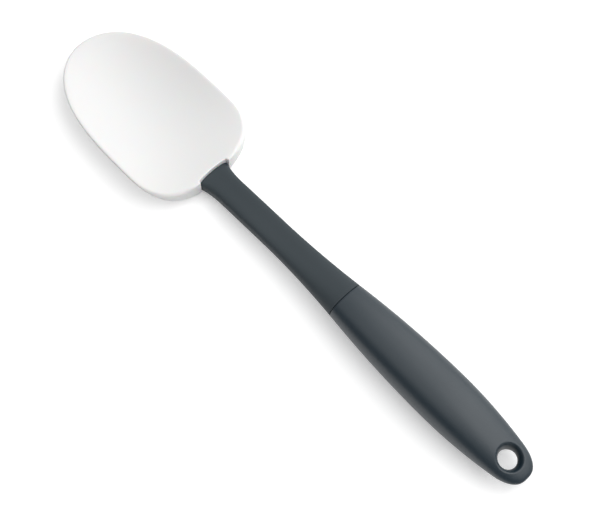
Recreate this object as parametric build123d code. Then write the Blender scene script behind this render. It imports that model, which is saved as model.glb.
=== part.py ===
from build123d import *
import math
import os

# A silicone spoon spatula that lies on a table with its bowl up, in millimetres. +X points from
# the butt of the handle to the tip of the blade, +Z is up, and the origin is on the table, under
# the middle of the length. It has four pieces: a soft head moulded over the paddle of a hard
# neck, and a soft grip moulded over a hard core that holds the tang of the same neck.

# Lengths along X
TOTAL_LENGTH = 295.0
HEAD_LENGTH = 97.0
GRIP_LENGTH = 111.7

# Head: the outline seen from above, the rim seen from the side, and the two curved faces
HEAD_WIDTH = 62.2
WIDEST_FROM_TIP = 67.5
TIP_FLATNESS = 3.0
TIP_ROUNDNESS = 2.0
REAR_SQUARENESS = 3.1
RIM_HEIGHT = 13.25
RIM_RADIUS = 900.0
BOWL_DEPTH = 7.0
LIP_WIDTH = 1.2
LOWEST_FROM_TIP = 55.5
TIP_THICKNESS = 1.6
REAR_LIFT = 1.8
EDGE_LIFT = 10.6

# Paddle inside the head, an end of the neck
PADDLE_COVER = 1.3
PADDLE_WIDTH = 44.0
PADDLE_LENGTH = 54.0
PADDLE_TIP_MARGIN = 36.0
PADDLE_CORNER = 14.0
ROOT_WIDTH = 13.0
WINDOW_LENGTH = 14.0
WINDOW_WIDTH = 4.0
WINDOW_PITCH = 9.0
WINDOW_COUNT = 4

# Neck: nearly rectangular behind the head, oval at the seam
NECK_WIDTH = 13.95
NECK_HEIGHT = 8.2
NECK_SQUARENESS = 4.0
NECK_SHOULDER = 2.4
FLARE_LENGTH = 12.3
FLARE_WIDTH = 16.9
TAPER_LENGTH = 50.0
TAPER_ONSET = 2.1

# Centreline, seen from the side: it crests behind the seam and drops to both ends
CREST_FROM_SEAM = 20.0
HEAD_DROP = 4.2
BUTT_DROP = 1.0

# Grip
SEAM_WIDTH = 19.25
SEAM_HEIGHT = 14.2
GRIP_WIDTH = 25.95
GRIP_HEIGHT = 19.8
GRIP_SQUARENESS = 2.3
BELLY_FROM_SEAM = 60.5
TAIL_WIDTH = 15.6
TAIL_HEIGHT = 4.2
CAP_LENGTH = 12.6
CAP_ROUNDNESS = 2.6
GROOVE_WIDTH = 0.5
GROOVE_DEPTH = 0.5

# Hanging hole
HOLE_FROM_BUTT = 11.7
HOLE_RADIUS = 4.5
RIM_ROUND = 1.8

# Handle core and the tang inside it
GRIP_WALL = 2.2
CORE_MARGIN = 4.5
EYE_LINING = 1.0
EYE_WALL = 1.6
EYE_HEIGHT = 3.2
TANG_LENGTH = 58.0
TANG_WIDTH = 11.0
TANG_HEIGHT = 6.8
TANG_TAPER = 0.75
KEY_DIAMETER = 4.0
KEY_PITCH = 16.0
KEY_COUNT = 3

# How finely sections and lofts are sampled
SECTION_POINTS = 24
OUTLINE_POINTS = 36
NECK_SECTION_COUNT = 14
GRIP_SECTION_COUNT = 12
CAP_SECTION_COUNT = 8
CAP_LAST_ANGLE = math.radians(89)
BOWL_SECTION_COUNT = 13
BOWL_LAST_ANGLE = math.radians(86)

TIP_X = TOTAL_LENGTH / 2
BUTT_X = -TOTAL_LENGTH / 2
HEAD_REAR_X = TIP_X - HEAD_LENGTH
WIDEST_X = TIP_X - WIDEST_FROM_TIP
LOWEST_X = TIP_X - LOWEST_FROM_TIP
SHOULDER_X = HEAD_REAR_X + NECK_SHOULDER
SEAM_X = BUTT_X + GRIP_LENGTH
BELLY_X = SEAM_X - BELLY_FROM_SEAM
CAP_X = BUTT_X + CAP_LENGTH
CREST_X = SEAM_X - CREST_FROM_SEAM
HOLE_X = BUTT_X + HOLE_FROM_BUTT
CREST_Z = GRIP_HEIGHT / 2 + BUTT_DROP * ((CREST_X - BELLY_X) / (CREST_X - BUTT_X)) ** 2
SKY_Z = 2 * GRIP_HEIGHT


def blend(start, end, share):
    """Value a share of the way from start to end."""
    return start + (end - start) * share


def spread(start, end, count):
    """Evenly spaced values, both ends included."""
    return [blend(start, end, i / (count - 1)) for i in range(count)]


def centre_z(x):
    """Height of the centreline of the neck and handle."""
    if x > CREST_X:
        return CREST_Z - HEAD_DROP * ((x - CREST_X) / (SHOULDER_X - CREST_X)) ** 2
    return CREST_Z - BUTT_DROP * ((CREST_X - x) / (CREST_X - BUTT_X)) ** 2


def neck_size(x):
    """Half width, half height and squareness of the neck."""
    taper = max(0, 1 - (x - SEAM_X) / TAPER_LENGTH)
    flare = max(0, 1 - (SHOULDER_X - x) / FLARE_LENGTH)
    growth = taper**TAPER_ONSET
    width = blend(NECK_WIDTH, SEAM_WIDTH, growth) + (FLARE_WIDTH - NECK_WIDTH) * flare**2
    height = blend(NECK_HEIGHT, SEAM_HEIGHT, growth)
    return width / 2, height / 2, blend(NECK_SQUARENESS, GRIP_SQUARENESS, taper)


def grip_size(x):
    """Half width, half height and squareness of the grip: fullest at the belly, round at the butt."""
    if x > BELLY_X:
        share = ((x - BELLY_X) / BELLY_FROM_SEAM) ** 2
        width = blend(GRIP_WIDTH, SEAM_WIDTH, share)
        height = blend(GRIP_HEIGHT, SEAM_HEIGHT, share)
    else:
        share = ((BELLY_X - x) / (BELLY_X - BUTT_X)) ** 2
        width = blend(GRIP_WIDTH, TAIL_WIDTH, share)
        height = blend(GRIP_HEIGHT, TAIL_HEIGHT, share)
    cap = (1 - max(0, (CAP_X - x) / CAP_LENGTH) ** CAP_ROUNDNESS) ** (1 / CAP_ROUNDNESS)
    return width * cap / 2, height * cap / 2, GRIP_SQUARENESS


def section(x, half_width, half_height, squareness):
    """Face across the handle at x: a superellipse round the centreline."""
    points = []
    for i in range(SECTION_POINTS):
        angle = 2 * math.pi * i / SECTION_POINTS
        across = math.copysign(abs(math.cos(angle)) ** (2 / squareness), math.cos(angle))
        up = math.copysign(abs(math.sin(angle)) ** (2 / squareness), math.sin(angle))
        points.append((x, half_width * across, centre_z(x) + half_height * up))
    even = list(range(SECTION_POINTS + 1))
    return Face(Wire([Edge.make_spline(points, periodic=True, parameters=even)]))


def tube(stations, size, inset=0.0):
    """Loft through the sections that size gives at the stations, drawn in by an inset."""
    faces = []
    for x in stations:
        half_width, half_height, squareness = size(x)
        faces.append(section(x, half_width - inset, half_height - inset, squareness))
    return loft(faces)


def half_width_at(x, inset):
    """Half width of the head's outline, drawn in by an inset."""
    if x > WIDEST_X:
        forward = (x - WIDEST_X) / (WIDEST_FROM_TIP - inset)
        share = (1 - forward**TIP_FLATNESS) ** (1 / TIP_ROUNDNESS)
    else:
        backward = (WIDEST_X - x) / (WIDEST_X - HEAD_REAR_X - inset)
        share = (1 - backward**REAR_SQUARENESS) ** (1 / REAR_SQUARENESS)
    return (HEAD_WIDTH / 2 - inset) * share


def outline():
    """Upright block with the head's outline, one superellipse in front and another behind."""
    points = []
    for i in range(OUTLINE_POINTS):
        angle = 2 * math.pi * i / OUTLINE_POINTS
        along, across = abs(math.cos(angle)), abs(math.sin(angle))
        if math.cos(angle) > 0:
            x = WIDEST_X + WIDEST_FROM_TIP * along ** (2 / TIP_FLATNESS)
            share = across ** (2 / TIP_ROUNDNESS)
        else:
            x = WIDEST_X - (WIDEST_X - HEAD_REAR_X) * along ** (2 / REAR_SQUARENESS)
            share = across ** (2 / REAR_SQUARENESS)
        points.append((x, math.copysign(HEAD_WIDTH / 2 * share, math.sin(angle)), 0))
    return extrude(Face(Wire([Edge.make_spline(points, periodic=True)])), SKY_Z, (0, 0, 1))


def rim_z(x):
    """Height of the rim, an arc seen from the side that crests at the widest place."""
    return RIM_HEIGHT - RIM_RADIUS + math.sqrt(RIM_RADIUS**2 - (x - WIDEST_X) ** 2)


def below_rim():
    """Everything under the rim, as wide as the head."""
    rear, tip = HEAD_REAR_X - LIP_WIDTH, TIP_X + LIP_WIDTH
    top = ThreePointArc((rear, 0, rim_z(rear)), (WIDEST_X, 0, RIM_HEIGHT), (tip, 0, rim_z(tip)))
    rest = Polyline(top @ 1, (tip, 0, -RIM_HEIGHT), (rear, 0, -RIM_HEIGHT), top @ 0)
    return extrude(make_face([top, rest]), HEAD_WIDTH, (0, 1, 0), both=True)


def underside_z(x):
    """Height of the lowest line of the underside: two arcs that meet level at its lowest place."""
    if x > LOWEST_X:
        length, rise = TIP_X - LOWEST_X, rim_z(TIP_X) - TIP_THICKNESS
    else:
        length, rise = LOWEST_X - HEAD_REAR_X, REAR_LIFT
    radius = (length**2 + rise**2) / (2 * rise)
    return radius - math.sqrt(radius**2 - (x - LOWEST_X) ** 2)


def barrel(cover):
    """Barrel whose lower side is the underside of the head, raised by a cover."""
    radius = (HEAD_WIDTH**2 / 4 + EDGE_LIFT**2) / (2 * EDGE_LIFT)
    rear, tip = HEAD_REAR_X - LIP_WIDTH, TIP_X + LIP_WIDTH
    lowest = (LOWEST_X, 0, cover)
    rear_arc = TangentArc(lowest, (rear, 0, underside_z(rear) + cover), tangent=(-1, 0, 0))
    tip_arc = TangentArc(lowest, (tip, 0, underside_z(tip) + cover), tangent=(1, 0, 0))
    rest = Polyline(rear_arc @ 1, (rear, 0, radius), (tip, 0, radius), tip_arc @ 1)
    return revolve(make_face([rear_arc, tip_arc, rest]), Axis((0, 0, radius), (1, 0, 0)))


def bowl_section(angle):
    """Face across the hollow: an arc that reaches the lip on both sides, open to the sky."""
    middle_x = (HEAD_REAR_X + TIP_X) / 2
    x = middle_x + (HEAD_LENGTH / 2 - LIP_WIDTH) * math.sin(angle)
    depth = BOWL_DEPTH * math.cos(angle) ** 2
    reach = half_width_at(x, LIP_WIDTH)
    radius = (reach**2 + depth**2) / (2 * depth)
    low = rim_z(x) - depth
    wide = reach + LIP_WIDTH
    high = low + radius - math.sqrt(radius**2 - wide**2)
    floor = ThreePointArc((x, -wide, high), (x, 0, low), (x, wide, high))
    rest = Polyline(floor @ 1, (x, wide, SKY_Z), (x, -wide, SKY_Z), floor @ 0)
    return make_face([floor, rest])


def hollow():
    """What the bowl takes out of the head."""
    angles = spread(-BOWL_LAST_ANGLE, BOWL_LAST_ANGLE, BOWL_SECTION_COUNT)
    return loft([bowl_section(angle) for angle in angles])


def block(start_x, end_x, width, low, high):
    """Box between two places along X, centred across."""
    size = (end_x - start_x, width, high - low)
    return Pos((start_x + end_x) / 2, 0, (low + high) / 2) * Box(*size)


def paddle():
    """Plate inside the head that follows its two faces, with windows that the silicone fills."""
    end_x = TIP_X - PADDLE_TIP_MARGIN
    start_x = end_x - PADDLE_LENGTH
    middle_x = (start_x + end_x) / 2
    plan = RectangleRounded(PADDLE_LENGTH, PADDLE_WIDTH, PADDLE_CORNER)
    plate = extrude(Pos(middle_x, 0, 0) * plan, SKY_Z, (0, 0, 1))
    root = block(SHOULDER_X, middle_x, ROOT_WIDTH, 0, SKY_Z)
    solid = (plate + root) & barrel(PADDLE_COVER) & below_rim()
    solid -= Pos(0, 0, -PADDLE_COVER) * hollow()
    for i in range(WINDOW_COUNT):
        y = (i - (WINDOW_COUNT - 1) / 2) * WINDOW_PITCH
        solid -= Pos(middle_x, y, 0) * Box(WINDOW_LENGTH, WINDOW_WIDTH, 2 * SKY_Z)
    return solid


def tang():
    """Tapered end of the neck inside the handle, with holes that key it to the core."""
    end_x = SEAM_X - TANG_LENGTH
    near = section(SEAM_X, TANG_WIDTH / 2, TANG_HEIGHT / 2, NECK_SQUARENESS)
    far_width, far_height = TANG_WIDTH * TANG_TAPER / 2, TANG_HEIGHT * TANG_TAPER / 2
    solid = loft([near, section(end_x, far_width, far_height, NECK_SQUARENESS)])
    for i in range(KEY_COUNT):
        x = (SEAM_X + end_x) / 2 + (i - (KEY_COUNT - 1) / 2) * KEY_PITCH
        solid -= Pos(x, 0, 0) * Cylinder(KEY_DIAMETER / 2, 2 * SKY_Z)
    return solid


def neck():
    """Visible neck with its tang behind it and its paddle in front."""
    stem = tube(spread(SEAM_X, SHOULDER_X, NECK_SECTION_COUNT), neck_size)
    return stem + tang() + paddle()


def silicone_head(bone):
    """Soft head: its outline, underside and rim, hollowed, around the end of the neck."""
    body = outline() & barrel(0) & below_rim()
    body -= hollow()
    notch = block(HEAD_REAR_X - LIP_WIDTH, SHOULDER_X, FLARE_WIDTH, centre_z(SHOULDER_X), SKY_Z)
    return body - notch - bone


def handle_core(bone):
    """Hard core: a drawn-in grip with a socket for the tang and an eye round the hanging hole."""
    end_x = HOLE_X + HOLE_RADIUS + CORE_MARGIN
    body = tube(spread(SEAM_X, end_x, GRIP_SECTION_COUNT), grip_size, GRIP_WALL)
    bore = HOLE_RADIUS + EYE_LINING
    middle = Pos(HOLE_X, 0, centre_z(HOLE_X))
    web = block(HOLE_X, end_x + EYE_WALL, 2 * bore, -EYE_HEIGHT / 2, EYE_HEIGHT / 2)
    eye = middle * Cylinder(bore + EYE_WALL, EYE_HEIGHT) + Pos(0, 0, centre_z(HOLE_X)) * web
    return body + eye - middle * Cylinder(bore, 2 * EYE_HEIGHT) - bone


def grip(bone, core):
    """Soft grip over the core, with a groove at the seam and a round-rimmed hole at the butt."""
    angles = spread(0, CAP_LAST_ANGLE, CAP_SECTION_COUNT)[1:]
    cap = [CAP_X - CAP_LENGTH * math.sin(angle) ** (2 / CAP_ROUNDNESS) for angle in angles]
    body = tube(spread(SEAM_X, CAP_X, GRIP_SECTION_COUNT) + cap, grip_size)
    ends = [SEAM_X - GROOVE_WIDTH, SEAM_X]
    groove = tube(ends, grip_size, -GROOVE_DEPTH) - tube(ends, grip_size, GROOVE_DEPTH)
    hole = Pos(HOLE_X, 0, 0) * Cylinder(HOLE_RADIUS, 2 * SKY_Z)
    rims = new_edges(body, hole, combined=body - hole)
    return fillet(rims, RIM_ROUND) - groove - core - bone


bone = neck()
core = handle_core(bone)
pieces = {
    "silicone_head": silicone_head(bone),
    "neck": bone,
    "handle_core": core,
    "grip": grip(bone, core),
}
os.makedirs("parts", exist_ok=True)
for name, piece in pieces.items():
    piece.label = name
    export_step(piece, f"parts/{name}.step")
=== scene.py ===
import math

import bmesh
import bpy
import numpy as np
from bpy.props import FloatProperty, FloatVectorProperty, PointerProperty
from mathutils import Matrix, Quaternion, Vector


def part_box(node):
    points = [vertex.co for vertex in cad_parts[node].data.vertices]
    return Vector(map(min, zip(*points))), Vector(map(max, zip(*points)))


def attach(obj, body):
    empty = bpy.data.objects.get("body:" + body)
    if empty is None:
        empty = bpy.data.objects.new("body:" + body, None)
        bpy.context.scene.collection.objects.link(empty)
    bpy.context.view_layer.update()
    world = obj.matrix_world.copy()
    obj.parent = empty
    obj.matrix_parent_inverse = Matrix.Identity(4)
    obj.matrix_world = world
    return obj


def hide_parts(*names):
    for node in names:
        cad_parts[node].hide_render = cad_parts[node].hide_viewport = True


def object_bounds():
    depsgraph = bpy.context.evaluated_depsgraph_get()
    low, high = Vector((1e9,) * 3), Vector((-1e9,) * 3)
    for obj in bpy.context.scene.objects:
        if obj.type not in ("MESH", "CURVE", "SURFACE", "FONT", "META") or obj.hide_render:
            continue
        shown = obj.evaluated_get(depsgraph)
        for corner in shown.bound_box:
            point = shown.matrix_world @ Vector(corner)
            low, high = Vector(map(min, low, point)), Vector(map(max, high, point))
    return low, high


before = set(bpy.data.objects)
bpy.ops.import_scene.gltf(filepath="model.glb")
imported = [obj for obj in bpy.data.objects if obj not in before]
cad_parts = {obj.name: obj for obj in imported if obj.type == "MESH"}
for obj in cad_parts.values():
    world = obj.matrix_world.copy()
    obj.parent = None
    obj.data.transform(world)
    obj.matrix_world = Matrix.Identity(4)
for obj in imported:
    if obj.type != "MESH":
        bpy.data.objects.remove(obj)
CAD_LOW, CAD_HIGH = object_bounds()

bl_info = {
    "name": "Spoon Spatula",
    "version": (1, 0, 0),
    "blender": (4, 5, 0),
    "location": "View3D > Sidebar > Spatula",
    "description": "Builds a silicone spoon spatula that lies on a pale floor, with its bowl up",
    "category": "Add Mesh",
}

# The frame's boxes, in metres: +X points from the butt to the tip, +Z up out of the bowl.
HEAD_LOW, HEAD_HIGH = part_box("silicone_head")
GRIP_LOW, GRIP_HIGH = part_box("grip")

# How finely the surfaces are sampled.
HEAD_COLUMNS = 560
HEAD_EDGE_ROWS = 18
HEAD_FACE_ROWS = 44
ROUND_COLUMNS = 192
ROUND_ROWS = 7
NECK_ROWS = 150
GRIP_ROWS = 150
BUTT_COLUMNS = 360
BUTT_ROWS = 60
FINE = 4000

# Next to the neck the head's outline has its points closer: how much closer, within what distance
# of its rear edge in metres, and out to how many half widths of the neck.
NOTCH_CROWDING = 5
NOTCH_REACH = 0.003
NOTCH_SPAN = 1.5

# The closely spaced rows along the head's edge take this many shoulder rounds. Where a spoke meets
# the edge at a slant, they take no more than their width divided by the least slant.
EDGE_BAND = 1.6
LEAST_SLANT = 0.35

# Share of each spoke that is left open round the head's middle, for the closing fan.
HEAD_CENTRE = 0.01

# The sheets round the hanging hole start this many hole radii ahead of its centre.
SHEET_REACH = 4

# Points nearer than this are one vertex, in metres, and a divisor is never less than TINY.
MERGE_DISTANCE = 2e-7
TINY = 1e-9


def length_property(name, description, default):
    """Float property for a size in metres."""
    return FloatProperty(
        name=name, description=description, default=default, precision=5, unit="LENGTH"
    )


def power_property(name, description, default):
    """Float property for a plain exponent or share."""
    return FloatProperty(name=name, description=description, default=default)


def energy_property(name, description, default):
    """Float property for the power of a lamp in watts."""
    return FloatProperty(name=name, description=description, default=default, unit="POWER")


def colour_property(name, description, default):
    """Linear colour property."""
    return FloatVectorProperty(
        name=name, description=description, default=default, size=3, subtype="COLOR"
    )


def place_property(name, description, default):
    """Vector property for a place in metres."""
    return FloatVectorProperty(
        name=name,
        description=description,
        default=default,
        size=3,
        subtype="TRANSLATION",
        unit="LENGTH",
    )


class SpatulaSpine(bpy.types.PropertyGroup):
    """The line that the neck and the handle follow, seen from the side."""

    crest_from_seam: length_property(
        "Crest from seam", "Highest place of the line, behind the seam", 0.020
    )
    head_drop: length_property("Head drop", "Fall of the line from its crest to the head", 0.0042)
    butt_drop: length_property("Butt drop", "Fall of the line from its crest to the butt", 0.001)


class SpatulaHead(bpy.types.PropertyGroup):
    """Sizes and look of the soft head."""

    length: length_property("Length", "Head along the spatula", HEAD_HIGH[0] - HEAD_LOW[0])
    width: length_property("Width", "Head at its widest", 2 * min(HEAD_HIGH[1], -HEAD_LOW[1]))
    widest_from_tip: length_property("Widest from tip", "Place of the greatest width", 0.0675)
    tip_flatness: power_property("Tip flatness", "Power along the front outline", 3.0)
    tip_roundness: power_property("Tip roundness", "Power across the front outline", 2.0)
    rear_squareness: power_property("Rear squareness", "Power of the rear outline", 3.1)
    rim_height: length_property("Rim height", "Highest place of the rim", HEAD_HIGH[2])
    rim_radius: length_property("Rim radius", "Arc of the rim, seen from the side", 0.9)
    bowl_depth: length_property("Bowl depth", "Hollow under the rim", 0.007)
    lip_width: length_property("Lip width", "Flat lip round the bowl", 0.0012)
    lip_softness: length_property("Lip softness", "Rounding where the lip meets the bowl", 0.0003)
    lowest_from_tip: length_property(
        "Lowest from tip", "Place where the head touches the floor", 0.0555
    )
    tip_thickness: length_property("Tip thickness", "Edge of the head at its tip", 0.0016)
    least_thickness: length_property("Least thickness", "Least edge anywhere", 0.00002)
    rear_lift: length_property("Rear lift", "Height of the underside at the rear edge", 0.0018)
    edge_lift: length_property("Edge lift", "Height of the underside at the side edges", 0.0106)
    edge_round: length_property("Edge round", "Rounding of the outer edge", 0.0007)
    shoulder_round: length_property(
        "Shoulder round", "Rounding of the upper edge at the rear shoulders", 0.0023
    )
    shoulder_onset: length_property(
        "Shoulder onset", "Start of the shoulders' rounding behind the widest place", 0.008
    )
    shoulder_growth: length_property(
        "Shoulder growth", "Length along which the shoulders' rounding grows", 0.018
    )
    shoulder_gap: length_property(
        "Shoulder gap", "Start of the shoulders' rounding beside the middle", 0.0105
    )
    shoulder_spread: length_property(
        "Shoulder spread", "Width across which the shoulders' rounding grows", 0.007
    )
    notch_depth: length_property(
        "Notch depth", "How far the neck's end is let into the rear edge", 0.0017
    )
    notch_crown: length_property("Notch crown", "Bulge of the notch towards the tip", 0.00075)
    colour: colour_property("Colour", "White silicone", (0.87, 0.87, 0.865))
    roughness: power_property("Roughness", "Mean roughness of the surface", 0.55)
    specular: power_property("Specular", "Specular level of the surface", 0.3)
    subsurface: power_property("Subsurface", "Share of light that spreads under the skin", 0.15)
    subsurface_depth: length_property(
        "Subsurface depth", "How far light spreads under the skin", 0.002
    )


class SpatulaNeck(bpy.types.PropertyGroup):
    """Sizes and look of the hard neck."""

    width: length_property("Width", "Straight part of the neck", 0.01395)
    height: length_property("Height", "Straight part of the neck", 0.0082)
    squareness: power_property("Squareness", "Power of the section next to the head", 4.0)
    flare_length: length_property("Flare length", "Widening before the head", 0.0123)
    flare_width: length_property("Flare width", "Width where the neck enters the head", 0.0173)
    taper_length: length_property("Taper length", "Growth of the section before the seam", 0.05)
    taper_onset: power_property("Taper onset", "Power with which the section grows", 2.1)
    collar_depth: length_property(
        "Collar depth", "Step from the neck down to the collar inside the grip", 0.0008
    )
    collar_length: length_property("Collar length", "Collar inside the grip", 0.003)
    dish_depth: length_property("Dish depth", "Shallow hollow along the upper face", 0.00025)
    edge_round: length_property("Edge round", "Rounding of both ends", 0.00025)
    colour: colour_property("Colour", "Bluish dark grey plastic", (0.030, 0.042, 0.050))
    roughness: power_property("Roughness", "Mean roughness of the surface", 0.65)
    specular: power_property("Specular", "Specular level of the surface", 0.5)


class SpatulaGrip(bpy.types.PropertyGroup):
    """Sizes and look of the soft grip and its hanging hole."""

    length: length_property("Length", "Grip along the spatula", GRIP_HIGH[0] - GRIP_LOW[0])
    width: length_property("Width", "Grip at its belly", GRIP_HIGH[1] - GRIP_LOW[1])
    height: length_property("Height", "Grip at its belly", 0.0198)
    squareness: power_property("Squareness", "Power of the section", 2.3)
    seam_width: length_property("Seam width", "Section at the seam", 0.01925)
    seam_height: length_property("Seam height", "Section at the seam", 0.0142)
    belly_from_seam: length_property("Belly from seam", "Place of the fullest section", 0.0605)
    tail_width: length_property(
        "Tail width", "Width that the sides aim at under the butt's rounding", 0.0156
    )
    tail_height: length_property(
        "Tail height", "Height that the faces aim at under the butt's rounding", 0.0042
    )
    cap_length: length_property("Cap length", "Rounding of the butt", 0.0126)
    cap_roundness: power_property("Cap roundness", "Power of the butt's rounding", 2.8)
    groove_width: length_property("Groove width", "Gap at the seam", 0.0003)
    edge_round: length_property("Edge round", "Rounding of the front edge", 0.00025)
    hole_from_butt: length_property("Hole from butt", "Centre of the hanging hole", 0.0117)
    hole_radius: length_property("Hole radius", "Throat of the hanging hole", 0.0045)
    bell_width: length_property("Bell width", "Flare between the throat and the surface", 0.0022)
    bell_lean: power_property(
        "Bell lean", "Share by which the flare is wider towards the butt", 0.3
    )
    bell_roundness: power_property(
        "Bell roundness", "Power of the flare: 1 is a cone, 2 a round", 1.5
    )
    throat_slope: power_property("Throat slope", "Rise of the throat towards the head", 0.2)
    land_height: length_property("Land height", "Straight part of the throat", 0.001)
    colour: colour_property("Colour", "Bluish dark grey rubber", (0.003, 0.016, 0.027))
    roughness: power_property("Roughness", "Mean roughness of the surface", 0.43)
    specular: power_property("Specular", "Specular level of the surface", 0.8)


class SpatulaStage(bpy.types.PropertyGroup):
    """Floor, lamps and camera."""

    floor_size: length_property("Floor size", "Side of the square floor", 6.0)
    floor_colour: colour_property("Floor colour", "Pale paper", (0.93, 0.93, 0.93))
    floor_glow: power_property("Floor glow", "White added to the floor where it is seen", 0.31)
    sky_strength: power_property("Sky strength", "Light from all round", 0.21)
    key_place: place_property("Key place", "Large lamp high on the right", (-0.3, -0.6, 1.0))
    key_length: length_property("Key length", "Large lamp along X", 1.9)
    key_width: length_property("Key width", "Large lamp across X", 1.1)
    key_energy: energy_property("Key energy", "Power of the large lamp", 13.8)
    side_place: place_property("Side place", "Long lamp low on the right", (-0.2, -1.3, 0.45))
    side_length: length_property("Side length", "Long lamp along X", 1.8)
    side_width: length_property("Side width", "Long lamp across X", 0.5)
    side_energy: energy_property("Side energy", "Power of the long lamp", 4.7)
    top_place: place_property("Top place", "Lamp overhead, a little left", (0.05, 0.25, 1.0))
    top_length: length_property("Top length", "Lamp overhead, along X", 1.0)
    top_width: length_property("Top width", "Lamp overhead, across X", 1.0)
    top_energy: energy_property("Top energy", "Power of the lamp overhead", 3.1)
    camera_place: place_property(
        "Camera place", "Where the camera stands", (-0.1685, 0.1647, 0.5733)
    )
    camera_target: place_property(
        "Camera target", "Point that the camera faces", (-0.0067, 0.0, 0.0086)
    )
    camera_roll: FloatProperty(
        name="Camera roll",
        description="Turn about the line of sight",
        default=math.radians(1.956),
        unit="ROTATION",
    )
    lens: FloatProperty(name="Lens", description="Focal length in millimetres", default=80.23)


def superellipse_radius(angle, half_width, half_height, power):
    """Distance from the centre to a superellipse: ((cos/a)^n + (sin/b)^n)^(-1/n)."""
    across = np.abs(np.cos(angle) / half_width) ** power
    up = np.abs(np.sin(angle) / half_height) ** power
    return (across + up) ** (-1 / power)


def smoothstep(value):
    """0 below 0, 1 above 1, and 3v^2 - 2v^3 between."""
    value = np.clip(value, 0, 1)
    return value * value * (3 - 2 * value)


def round_drop(inward, radius):
    """How far a quarter round of that radius falls, at a distance inward from its edge."""
    share = np.clip(1 - inward / radius, 0, 1)
    return radius * (1 - np.sqrt(1 - share**2))


def resample(curve, count, weight):
    """Points along a polyline, evenly spaced by length times weight, first and last kept."""
    steps = np.linalg.norm(np.diff(curve, axis=0), axis=1) * (weight[1:] + weight[:-1]) / 2
    travelled = np.concatenate([[0], np.cumsum(steps)])
    places = np.linspace(0, travelled[-1], count)
    return np.stack([np.interp(places, travelled, values) for values in curve.T], axis=1)


def distance_to(curve, points):
    """Least distance in plan from each point to the straight pieces of a closed curve."""
    start = curve[None, :, :]
    along = (np.roll(curve, -1, axis=0) - curve)[None, :, :]
    offset = points[:, None, :] - start
    share = np.clip((offset * along).sum(-1) / (along**2).sum(-1), 0, 1)
    return np.linalg.norm(offset - share[..., None] * along, axis=-1).min(axis=1)


def ring_faces(rows, columns, first=0):
    """Quads of a grid whose rows are rings: each joins two neighbours of two rows."""
    row, column = np.meshgrid(np.arange(rows - 1), np.arange(columns), indexing="ij")
    beside = (column + 1) % columns
    here, above = row * columns, (row + 1) * columns
    corners = np.stack([here + column, here + beside, above + beside, above + column], axis=-1)
    return (corners.reshape(-1, 4) + first).tolist()


def fan_faces(ring, centre):
    """Triangles from a ring of vertices to one in its middle."""
    return np.stack([ring, np.roll(ring, -1), np.full(len(ring), centre)], axis=-1).tolist()


def skin(rings):
    """Vertices and faces of a body made of a pile of rings, closed by a fan at each end."""
    rows, columns, _ = rings.shape
    ends = np.stack([rings[0].mean(axis=0), rings[-1].mean(axis=0)])
    vertices = np.concatenate([rings.reshape(-1, 3), ends])
    faces = ring_faces(rows, columns)
    faces += fan_faces(np.arange(columns), rows * columns)
    faces += fan_faces(np.arange(columns) + (rows - 1) * columns, rows * columns + 1)
    return vertices, faces


def add_piece(name, vertices, faces, material):
    """Mesh object at the origin, its doubles merged, its faces outwards and smooth."""
    mesh = bpy.data.meshes.new(name)
    mesh.from_pydata(vertices.tolist(), [], faces)
    whole = bmesh.new()
    whole.from_mesh(mesh)
    bmesh.ops.remove_doubles(whole, verts=whole.verts, dist=MERGE_DISTANCE)
    bmesh.ops.recalc_face_normals(whole, faces=whole.faces)
    whole.to_mesh(mesh)
    whole.free()
    mesh.shade_smooth()
    mesh.materials.append(material)
    piece = bpy.data.objects.new(name, mesh)
    bpy.context.scene.collection.objects.link(piece)
    return piece


class Places:
    """Places along X that the pieces share, worked out from the sizes and the frame's box."""

    def __init__(self, scene):
        head, grip = scene.spatula_head, scene.spatula_grip
        self.tip, self.butt = CAD_HIGH[0], CAD_LOW[0]
        self.head_rear = self.tip - head.length
        self.widest = self.tip - head.widest_from_tip
        self.lowest = self.tip - head.lowest_from_tip
        self.shoulder = self.head_rear + head.notch_depth
        self.seam = self.butt + grip.length
        self.belly = self.seam - grip.belly_from_seam
        self.cap = self.butt + grip.cap_length
        self.hole = self.butt + grip.hole_from_butt
        self.crest = self.seam - scene.spatula_spine.crest_from_seam


def spine_height(scene, x):
    """Height of the centreline: two parabolas that meet level at the crest."""
    at, spine = Places(scene), scene.spatula_spine
    belly_share = (at.crest - at.belly) / (at.crest - at.butt)
    crest = scene.spatula_grip.height / 2 + spine.butt_drop * belly_share**2
    ahead = spine.head_drop * ((x - at.crest) / (at.shoulder - at.crest)) ** 2
    behind = spine.butt_drop * ((at.crest - x) / (at.crest - at.butt)) ** 2
    return crest - np.where(x > at.crest, ahead, behind)


def neck_section(scene, x):
    """Half width, half height and power of the neck.

    The section grows by a power law before the seam, and its width by a parabola at the flare.
    """
    at, neck, grip = Places(scene), scene.spatula_neck, scene.spatula_grip
    taper = np.clip(1 - (x - at.seam) / neck.taper_length, 0, 1)
    flare = np.clip(1 - (at.shoulder - x) / neck.flare_length, 0, 1)
    growth = taper**neck.taper_onset
    width = neck.width + (grip.seam_width - neck.width) * growth
    width = width + (neck.flare_width - neck.width) * flare**2
    height = neck.height + (grip.seam_height - neck.height) * growth
    power = neck.squareness + (grip.squareness - neck.squareness) * taper
    return width / 2, height / 2, power


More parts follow.
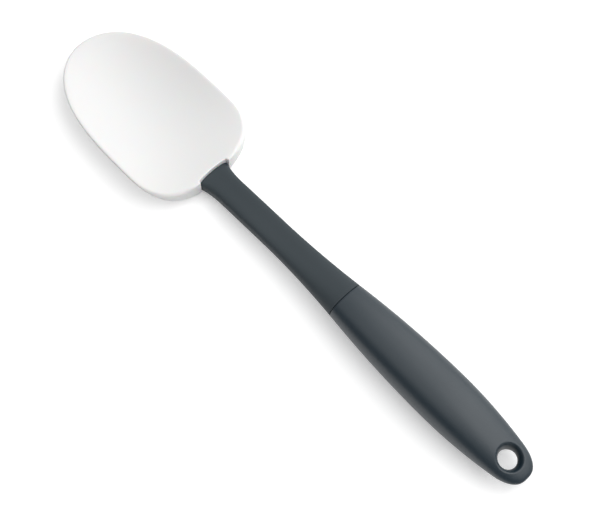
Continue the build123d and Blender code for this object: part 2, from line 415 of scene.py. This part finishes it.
def grip_section(scene, x):
    """Half width and half height of the grip.

    Both fall from the belly by parabolas, and at the butt both are multiplied by (1 - u^p)^(1/p).
    """
    at, grip = Places(scene), scene.spatula_grip
    ahead = ((x - at.belly) / grip.belly_from_seam) ** 2
    behind = ((at.belly - x) / (at.belly - at.butt)) ** 2
    front = x > at.belly
    width = grip.width + np.where(
        front, (grip.seam_width - grip.width) * ahead, (grip.tail_width - grip.width) * behind
    )
    height = grip.height + np.where(
        front, (grip.seam_height - grip.height) * ahead, (grip.tail_height - grip.height) * behind
    )
    into_cap = np.clip((at.cap - x) / grip.cap_length, 0, 1)
    cap = (1 - into_cap**grip.cap_roundness) ** (1 / grip.cap_roundness)
    return width * cap / 2, height * cap / 2


def tube_rings(scene, x, half_width, half_height, power):
    """Rings round the centreline, one per place in x, each a superellipse by polar angle."""
    angle = np.arange(ROUND_COLUMNS) * 2 * math.pi / ROUND_COLUMNS
    a, b = half_width[:, None], half_height[:, None]
    power = np.broadcast_to(power, len(x))[:, None]
    radius = superellipse_radius(angle[None, :], a, b, power)
    along = np.broadcast_to(x[:, None], radius.shape)
    across = radius * np.cos(angle)[None, :]
    height = spine_height(scene, x)[:, None] + radius * np.sin(angle)[None, :]
    return np.stack([along, across, height], axis=-1)


def head_half_width(scene, x, inset):
    """Half width of the head's outline, drawn in by an inset.

    It is the greatest half width times (1 - u^p)^(1/q) in front and (1 - v^r)^(1/r) behind.
    """
    at, head = Places(scene), scene.spatula_head
    forward = np.clip((x - at.widest) / (head.widest_from_tip - inset), 0, 1)
    backward = np.clip((at.widest - x) / (at.widest - at.head_rear - inset), 0, 1)
    front = (1 - forward**head.tip_flatness) ** (1 / head.tip_roundness)
    rear = (1 - backward**head.rear_squareness) ** (1 / head.rear_squareness)
    return (head.width / 2 - inset) * np.where(x > at.widest, front, rear)


def head_outline(scene):
    """Closed outline of the head in plan, with the notch that takes the end of the neck.

    The notch's floor bulges by c (1 - (y/w)^2) towards the tip. Its sides are smooth steps that are
    one edge round wide and lie mostly within the neck's half width w.
    """
    at, head, neck = Places(scene), scene.spatula_head, scene.spatula_neck
    turn = np.linspace(0, math.pi, FINE)
    along, across = np.abs(np.cos(turn)), np.abs(np.sin(turn))
    front = turn < math.pi / 2
    front_x = at.widest + head.widest_from_tip * along ** (2 / head.tip_flatness)
    rear_x = at.widest - (at.widest - at.head_rear) * along ** (2 / head.rear_squareness)
    front_y, rear_y = across ** (2 / head.tip_roundness), across ** (2 / head.rear_squareness)
    x, y = np.where(front, front_x, rear_x), head.width / 2 * np.where(front, front_y, rear_y)
    half = neck.flare_width / 2
    floor = at.shoulder + head.notch_crown * (1 - np.clip(y / half, 0, 1) ** 2)
    inside = smoothstep((half + head.edge_round / 3 - y) / head.edge_round) * ~front
    x = x + (np.maximum(floor, x) - x) * inside
    closeness = np.exp(-(((x - at.head_rear) / NOTCH_REACH) ** 2)) * (y < NOTCH_SPAN * half)
    weight = 1 + NOTCH_CROWDING * closeness
    side = resample(np.stack([x, y], axis=1), HEAD_COLUMNS // 2 + 1, weight)
    return np.concatenate([side, side[-2:0:-1] * [1, -1]])


def rim_height(scene, x):
    """Height of the rim: an arc that crests at the widest place."""
    at, head = Places(scene), scene.spatula_head
    return head.rim_height - head.rim_radius + np.sqrt(head.rim_radius**2 - (x - at.widest) ** 2)


def head_face(scene, x, y):
    """Height of the bowl: the rim less d (1 - (y/w)^2), with a soft start at the lip.

    The depth d is a parabola along X.
    """
    at, head = Places(scene), scene.spatula_head
    middle = (at.head_rear + at.tip) / 2
    along = np.clip((x - middle) / (head.length / 2 - head.lip_width), -1, 1)
    depth = head.bowl_depth * (1 - along**2)
    reach = np.maximum(head_half_width(scene, x, head.lip_width), head.lip_width)
    hollow = np.maximum(depth * (1 - (y / reach) ** 2), -head.lip_width)
    return rim_height(scene, x) - (hollow + np.sqrt(hollow**2 + head.lip_softness**2)) / 2


def head_underside(scene, x, y):
    """Height of the underside: an arc across, whose lowest line rises by an arc to each end."""
    at, head = Places(scene), scene.spatula_head
    barrel = (head.width**2 / 4 + head.edge_lift**2) / (2 * head.edge_lift)
    tip_rise = rim_height(scene, at.tip) - head.tip_thickness
    length = np.where(x > at.lowest, at.tip - at.lowest, at.lowest - at.head_rear)
    rise = np.where(x > at.lowest, tip_rise, head.rear_lift)
    radius = (length**2 + rise**2) / (2 * rise)
    lowest = radius - np.sqrt(radius**2 - (x - at.lowest) ** 2)
    return barrel - np.sqrt((barrel - lowest) ** 2 - y**2)


def head_rings(scene):
    """Rings of the head: each spoke runs from its middle over the edge and back underneath.

    The bowl and the underside meet the outline in quarter rounds, which fall with the distance
    inward from it. Behind and beside the middle the upper one grows to the shoulders' round.
    """
    at, head = Places(scene), scene.spatula_head
    outline = head_outline(scene)
    middle = np.array([(at.widest + at.tip) / 2 - head.lip_width, 0])
    spoke = outline - middle
    reach = np.linalg.norm(spoke, axis=1)
    tangent = np.roll(outline, -1, axis=0) - np.roll(outline, 1, axis=0)
    tangent /= np.linalg.norm(tangent, axis=1)[:, None]
    slant = np.abs(spoke[:, 0] * tangent[:, 1] - spoke[:, 1] * tangent[:, 0]) / reach
    inward = EDGE_BAND * head.shoulder_round * np.linspace(0, 1, HEAD_EDGE_ROWS) ** 2
    edge = 1 - inward[:, None] / (reach * np.clip(slant, LEAST_SLANT, 1))[None, :]
    face = edge[-1][None, :] * np.linspace(1, HEAD_CENTRE, HEAD_FACE_ROWS)[1:, None]
    share = np.concatenate([edge, face])
    plan = middle + share[..., None] * spoke[None, :, :]
    x, y = plan[..., 0], plan[..., 1]
    near = np.stack([distance_to(outline, row) for row in plan])
    behind = smoothstep((at.widest - head.shoulder_onset - x) / head.shoulder_growth)
    beside = smoothstep((np.abs(y) - head.shoulder_gap) / head.shoulder_spread)
    upper_round = head.edge_round + (head.shoulder_round - head.edge_round) * behind * beside
    top = head_face(scene, x, y) - round_drop(near, upper_round)
    bottom = head_underside(scene, x, y) + round_drop(near, head.edge_round)
    bottom = np.minimum(bottom, top - head.least_thickness)
    upper = np.stack([x, y, top], axis=-1)[::-1]
    lower = np.stack([x, y, bottom], axis=-1)
    return np.concatenate([upper, lower])


def neck_rings(scene):
    """Rings of the neck: a collar inside the grip, a rounded shoulder, the stem and its end.

    The stem's upper face is lowered by d (1 - (y/a)^2)^2, with a its half width. The end is drawn
    out towards the tip by c (1 - (y/w)^2), like the floor of the notch that it fills.
    """
    at, head, neck = Places(scene), scene.spatula_head, scene.spatula_neck
    turn = np.linspace(0, math.pi / 2, ROUND_ROWS)
    rear_x = at.seam + neck.edge_round * (1 - np.sin(turn))
    rear_in = neck.edge_round * (1 - np.cos(turn))
    order = np.argsort(rear_x)
    rear_x, rear_in = rear_x[order], rear_in[order]
    front_x, front_in = at.shoulder - (rear_x - at.seam)[::-1], rear_in[::-1]
    stem_x = np.linspace(at.seam + neck.edge_round, at.shoulder - neck.edge_round, NECK_ROWS)[1:-1]
    collar_x = np.array([at.seam - neck.collar_length, at.seam])
    x = np.concatenate([collar_x, rear_x, stem_x, front_x])
    step = np.concatenate([[neck.collar_depth] * 2, rear_in, np.zeros(len(stem_x)), front_in])
    a, b, power = neck_section(scene, np.maximum(x, at.seam))
    rings = tube_rings(scene, x, a - step, b - step, power)
    above = rings[..., 2] > spine_height(scene, x)[:, None]
    across = np.abs(rings[..., 1])
    outward = np.clip(across / a[:, None], 0, 1)
    stem = smoothstep((x - at.seam) / neck.taper_length)[:, None]
    rings[..., 2] -= neck.dish_depth * stem * above * (1 - outward**2) ** 2
    crown = head.notch_crown * (1 - np.clip(across / (neck.flare_width / 2), 0, 1) ** 2)
    into_flare = np.clip((x - at.shoulder + neck.flare_length) / neck.flare_length, 0, 1)
    rings[..., 0] += crown * into_flare[:, None]
    return rings


def butt_loop(scene, line, split):
    """Closed loop in plan: a line across the grip at its split, then both sides round the butt."""
    at, grip = Places(scene), scene.spatula_grip
    share = np.sin(np.linspace(0, math.pi / 2, FINE)) ** (2 / grip.cap_roundness)
    x = split + (at.butt - split) * share
    side = np.stack([x, grip_section(scene, x)[0]], axis=1)
    side = resample(side, BUTT_COLUMNS // 2 + 1, np.ones(FINE))
    return np.concatenate([line, (side * [1, -1])[1:], side[-2:0:-1]])


def butt_sheets(scene, loop, line_length):
    """Upper and lower sheet of the butt, between the hanging hole and the loop round it.

    They stand above and below the centreline by the half height of the grip's section. Over the
    flare that falls to the straight part of the throat by (1 - u^p)^(1/p), with u 0 where the flare
    starts and 1 at the throat, and there the middle of the throat slopes.
    """
    at, grip = Places(scene), scene.spatula_grip
    hole = np.array([at.hole, 0.0])
    toward = loop - hole
    length = np.linalg.norm(toward, axis=1)[:, None]
    throat = hole + toward / length * grip.hole_radius
    share = (1 - np.cos(np.linspace(0, math.pi, BUTT_ROWS))) / 2
    plan = throat[None] + share[:, None, None] * (loop - throat)[None]
    plan[-1] = loop
    x, y = plan[..., 0], plan[..., 1]
    a, b = grip_section(scene, x)
    outward = np.clip(np.abs(y) / np.maximum(a, TINY), 0, 1)
    half = b * (1 - outward**grip.squareness) ** (1 / grip.squareness)
    half[-1, line_length:] = 0
    bell = (grip.bell_width * (1 - grip.bell_lean * toward[:, 0] / length[:, 0]))[None]
    into_bell = np.clip(1 - (np.linalg.norm(plan - hole, axis=-1) - grip.hole_radius) / bell, 0, 1)
    land = grip.land_height / 2
    flare = (1 - into_bell**grip.bell_roundness) ** (1 / grip.bell_roundness)
    half = land + (half - land) * flare
    middle = spine_height(scene, x) + grip.throat_slope * (x - at.hole) * smoothstep(into_bell)
    return np.stack([x, y, middle + half], axis=-1), np.stack([x, y, middle - half], axis=-1)


def grip_surface(scene):
    """Vertices and faces of the grip: a tube, the butt's two sheets and the hanging hole's wall."""
    at, grip = Places(scene), scene.spatula_grip
    front = at.seam - grip.groove_width
    split = at.hole + SHEET_REACH * grip.hole_radius
    turn = np.linspace(0, math.pi / 2, ROUND_ROWS)[::-1]
    round_x = front - grip.edge_round * (1 - np.cos(turn))
    x = np.concatenate([np.linspace(split, front - grip.edge_round, GRIP_ROWS)[:-1], round_x])
    step = np.concatenate([np.zeros(GRIP_ROWS - 1), grip.edge_round * (1 - np.sin(turn))])
    a, b = grip_section(scene, x)
    tube = tube_rings(scene, x, a - step, b - step, grip.squareness)
    line = tube[0, : ROUND_COLUMNS // 2 + 1, :2]
    loop = butt_loop(scene, line, split)
    sheets = [sheet.reshape(-1, 3) for sheet in butt_sheets(scene, loop, len(line))]
    vertices = np.concatenate([tube.reshape(-1, 3), *sheets, tube[-1].mean(axis=0)[None]])
    columns = len(loop)
    first_upper = len(tube) * ROUND_COLUMNS
    first_lower = first_upper + BUTT_ROWS * columns
    faces = ring_faces(len(tube), ROUND_COLUMNS)
    faces += ring_faces(BUTT_ROWS, columns, first_upper)
    faces += ring_faces(BUTT_ROWS, columns, first_lower)
    upper, lower = np.arange(columns) + first_upper, np.arange(columns) + first_lower
    faces += np.stack([upper, np.roll(upper, -1), np.roll(lower, -1), lower], axis=-1).tolist()
    faces += fan_faces(np.arange(ROUND_COLUMNS) + first_upper - ROUND_COLUMNS, len(vertices) - 1)
    return vertices, faces


def grain_group():
    """Node group for the grain of moulded surfaces: one noise for height, one for roughness."""
    if "moulded_grain" in bpy.data.node_groups:
        return bpy.data.node_groups["moulded_grain"]
    group = bpy.data.node_groups.new("moulded_grain", "ShaderNodeTree")
    scales = {"Grain Scale": 3000.0, "Patch Scale": 60.0}
    shares = {"Roughness": 0.5, "Roughness Spread": 0.05}
    for name, default in (scales | shares).items():
        socket = group.interface.new_socket(name, in_out="INPUT", socket_type="NodeSocketFloat")
        socket.default_value = default
    for name in ("Height", "Roughness"):
        group.interface.new_socket(name, in_out="OUTPUT", socket_type="NodeSocketFloat")
    nodes, links = group.nodes, group.links
    inputs, outputs = nodes.new("NodeGroupInput"), nodes.new("NodeGroupOutput")
    place = nodes.new("ShaderNodeTexCoord")
    grain, patch = nodes.new("ShaderNodeTexNoise"), nodes.new("ShaderNodeTexNoise")
    for noise, scale in ((grain, "Grain Scale"), (patch, "Patch Scale")):
        links.new(place.outputs["Object"], noise.inputs["Vector"])
        links.new(inputs.outputs[scale], noise.inputs["Scale"])
    grain.inputs["Detail"].default_value = 2.0
    patch.inputs["Detail"].default_value = 3.0
    centred = nodes.new("ShaderNodeMath")
    centred.operation = "SUBTRACT"
    centred.inputs[1].default_value = 0.5
    links.new(patch.outputs["Fac"], centred.inputs[0])
    varied = nodes.new("ShaderNodeMath")
    varied.operation = "MULTIPLY_ADD"
    links.new(centred.outputs[0], varied.inputs[0])
    links.new(inputs.outputs["Roughness Spread"], varied.inputs[1])
    links.new(inputs.outputs["Roughness"], varied.inputs[2])
    links.new(grain.outputs["Fac"], outputs.inputs["Height"])
    links.new(varied.outputs[0], outputs.inputs["Roughness"])
    return group


def moulded_material(name, colour, roughness, spread, grain_scale, grain_depth):
    """Material of a moulded piece, a plain colour under a fine grain, and its shader.

    The grain scale is in grains per metre, and the grain depth in metres.
    """
    material = bpy.data.materials.new(name)
    material.use_nodes = True
    nodes, links = material.node_tree.nodes, material.node_tree.links
    shader = nodes["Principled BSDF"]
    shader.inputs["Base Color"].default_value = (*colour, 1.0)
    grain = nodes.new("ShaderNodeGroup")
    grain.node_tree = grain_group()
    grain.inputs["Grain Scale"].default_value = grain_scale
    grain.inputs["Roughness"].default_value = roughness
    grain.inputs["Roughness Spread"].default_value = spread
    bump = nodes.new("ShaderNodeBump")
    bump.inputs["Distance"].default_value = grain_depth
    links.new(grain.outputs["Height"], bump.inputs["Height"])
    links.new(grain.outputs["Roughness"], shader.inputs["Roughness"])
    links.new(bump.outputs["Normal"], shader.inputs["Normal"])
    return material, shader


class SPATULA_OT_head(bpy.types.Operator):
    """Build the soft white head in place of its CAD node"""

    bl_idname = "spatula.head"
    bl_label = "Head"

    def execute(self, context):
        scene = context.scene
        head = scene.spatula_head
        material, shader = moulded_material(
            "white_silicone",
            head.colour,
            head.roughness,
            spread=0.06,
            grain_scale=2500.0,
            grain_depth=0.000008,
        )
        shader.inputs["Subsurface Weight"].default_value = head.subsurface
        shader.inputs["Subsurface Scale"].default_value = head.subsurface_depth
        shader.inputs["Specular IOR Level"].default_value = head.specular
        piece = add_piece("soft_head", *skin(head_rings(scene)), material)
        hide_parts("silicone_head")
        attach(piece, "root")
        return {"FINISHED"}


class SPATULA_OT_neck(bpy.types.Operator):
    """Build the hard neck in place of its CAD node"""

    bl_idname = "spatula.neck"
    bl_label = "Neck"

    def execute(self, context):
        scene = context.scene
        neck = scene.spatula_neck
        material, shader = moulded_material(
            "neck_plastic",
            neck.colour,
            neck.roughness,
            spread=0.05,
            grain_scale=2200.0,
            grain_depth=0.00002,
        )
        shader.inputs["Specular IOR Level"].default_value = neck.specular
        piece = add_piece("neck_stem", *skin(neck_rings(scene)), material)
        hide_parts("neck")
        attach(piece, "root")
        return {"FINISHED"}


class SPATULA_OT_grip(bpy.types.Operator):
    """Build the soft grip in place of its CAD node and finish the core inside it"""

    bl_idname = "spatula.grip"
    bl_label = "Grip"

    def execute(self, context):
        scene = context.scene
        grip = scene.spatula_grip
        material, shader = moulded_material(
            "grip_rubber",
            grip.colour,
            grip.roughness,
            spread=0.05,
            grain_scale=2600.0,
            grain_depth=0.000012,
        )
        shader.inputs["Specular IOR Level"].default_value = grip.specular
        piece = add_piece("soft_grip", *grip_surface(scene), material)
        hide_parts("grip")
        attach(piece, "root")
        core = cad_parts["handle_core"]
        core_material, _ = moulded_material(
            "core_plastic",
            scene.spatula_neck.colour,
            roughness=0.6,
            spread=0.05,
            grain_scale=2200.0,
            grain_depth=0.00002,
        )
        core.data.materials.clear()
        core.data.materials.append(core_material)
        return {"FINISHED"}


def add_floor(stage):
    """Square pale floor under the object, whiter where the camera, gloss or glass shows it."""
    half = stage.floor_size / 2
    corners = [(-half, -half, 0), (half, -half, 0), (half, half, 0), (-half, half, 0)]
    mesh = bpy.data.meshes.new("floor")
    mesh.from_pydata(corners, [], [(0, 1, 2, 3)])
    material = bpy.data.materials.new("pale_paper")
    material.use_nodes = True
    nodes, links = material.node_tree.nodes, material.node_tree.links
    shader = nodes["Principled BSDF"]
    shader.inputs["Base Color"].default_value = (*stage.floor_colour, 1.0)
    shader.inputs["Roughness"].default_value = 1.0
    shader.inputs["Specular IOR Level"].default_value = 0.0
    path, glow = nodes.new("ShaderNodeLightPath"), nodes.new("ShaderNodeEmission")
    add = nodes.new("ShaderNodeAddShader")
    seen, through, scale = (nodes.new("ShaderNodeMath") for _ in range(3))
    seen.operation = through.operation = "MAXIMUM"
    scale.operation = "MULTIPLY"
    scale.inputs[1].default_value = stage.floor_glow
    links.new(path.outputs["Is Camera Ray"], seen.inputs[0])
    links.new(path.outputs["Is Glossy Ray"], seen.inputs[1])
    links.new(seen.outputs[0], through.inputs[0])
    links.new(path.outputs["Is Transmission Ray"], through.inputs[1])
    links.new(through.outputs[0], scale.inputs[0])
    links.new(scale.outputs[0], glow.inputs["Strength"])
    links.new(shader.outputs[0], add.inputs[0])
    links.new(glow.outputs[0], add.inputs[1])
    links.new(add.outputs[0], nodes["Material Output"].inputs["Surface"])
    mesh.materials.append(material)
    floor = bpy.data.objects.new("floor", mesh)
    bpy.context.scene.collection.objects.link(floor)


def add_world(stage):
    """Plain soft light from all round."""
    world = bpy.data.worlds.new("studio")
    world.use_nodes = True
    background = world.node_tree.nodes["Background"]
    background.inputs["Color"].default_value = (1.0, 1.0, 1.0, 1.0)
    background.inputs["Strength"].default_value = stage.sky_strength
    bpy.context.scene.world = world


def add_lamp(name, place, length, width, energy):
    """Oblong area lamp that faces the origin, its length along X."""
    lamp = bpy.data.lights.new(name, "AREA")
    lamp.shape = "RECTANGLE"
    lamp.size, lamp.size_y = length, width
    lamp.energy = energy
    holder = bpy.data.objects.new(name, lamp)
    holder.location = place
    holder.rotation_euler = (-Vector(place)).to_track_quat("-Z", "Y").to_euler()
    bpy.context.scene.collection.objects.link(holder)


def add_camera(stage):
    """Camera at the photograph's place, turned to its target and rolled a little."""
    place = Vector(stage.camera_place)
    lens = bpy.data.cameras.new("camera")
    lens.lens = stage.lens
    lens.sensor_width = 36.0
    lens.sensor_fit = "HORIZONTAL"
    lens.clip_start = 0.01
    lens.clip_end = 50.0
    holder = bpy.data.objects.new("camera", lens)
    holder.location = place
    aim = (Vector(stage.camera_target) - place).to_track_quat("-Z", "Y")
    roll = Quaternion((0.0, 0.0, 1.0), stage.camera_roll)
    holder.rotation_euler = (aim @ roll).to_euler()
    bpy.context.scene.collection.objects.link(holder)
    bpy.context.scene.camera = holder


class SPATULA_OT_stage(bpy.types.Operator):
    """Build the floor, the lamps and the camera"""

    bl_idname = "spatula.stage"
    bl_label = "Stage"

    def execute(self, context):
        stage = context.scene.spatula_stage
        add_floor(stage)
        add_world(stage)
        add_lamp("key", stage.key_place, stage.key_length, stage.key_width, stage.key_energy)
        add_lamp("side", stage.side_place, stage.side_length, stage.side_width, stage.side_energy)
        add_lamp("top", stage.top_place, stage.top_length, stage.top_width, stage.top_energy)
        add_camera(stage)
        context.scene.view_settings.view_transform = "Standard"
        return {"FINISHED"}


GROUPS = {
    "spatula_spine": SpatulaSpine,
    "spatula_head": SpatulaHead,
    "spatula_neck": SpatulaNeck,
    "spatula_grip": SpatulaGrip,
    "spatula_stage": SpatulaStage,
}
OPERATORS = (SPATULA_OT_head, SPATULA_OT_neck, SPATULA_OT_grip, SPATULA_OT_stage)


class SPATULA_PT_sidebar(bpy.types.Panel):
    """Sizes, colours and builders of the spatula"""

    bl_label = "Spoon Spatula"
    bl_idname = "SPATULA_PT_sidebar"
    bl_space_type = "VIEW_3D"
    bl_region_type = "UI"
    bl_category = "Spatula"

    def draw(self, context):
        for group in GROUPS:
            box = self.layout.box()
            box.label(text=group.replace("spatula_", "").capitalize())
            for name in GROUPS[group].__annotations__:
                box.prop(getattr(context.scene, group), name)
        for operator in OPERATORS:
            self.layout.operator(operator.bl_idname)


def register():
    """Registers the classes and hangs each group of sizes on the scene."""
    for group in GROUPS.values():
        bpy.utils.register_class(group)
    for operator in OPERATORS:
        bpy.utils.register_class(operator)
    bpy.utils.register_class(SPATULA_PT_sidebar)
    for name, group in GROUPS.items():
        setattr(bpy.types.Scene, name, PointerProperty(type=group))


def unregister():
    """Takes the groups off the scene and unregisters the classes."""
    for name in GROUPS:
        delattr(bpy.types.Scene, name)
    bpy.utils.unregister_class(SPATULA_PT_sidebar)
    for operator in reversed(OPERATORS):
        bpy.utils.unregister_class(operator)
    for group in reversed(GROUPS.values()):
        bpy.utils.unregister_class(group)


def main():
    """Registers the classes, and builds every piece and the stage."""
    register()
    bpy.ops.spatula.head()
    bpy.ops.spatula.neck()
    bpy.ops.spatula.grip()
    bpy.ops.spatula.stage()


if __name__ == "__main__":
    main()
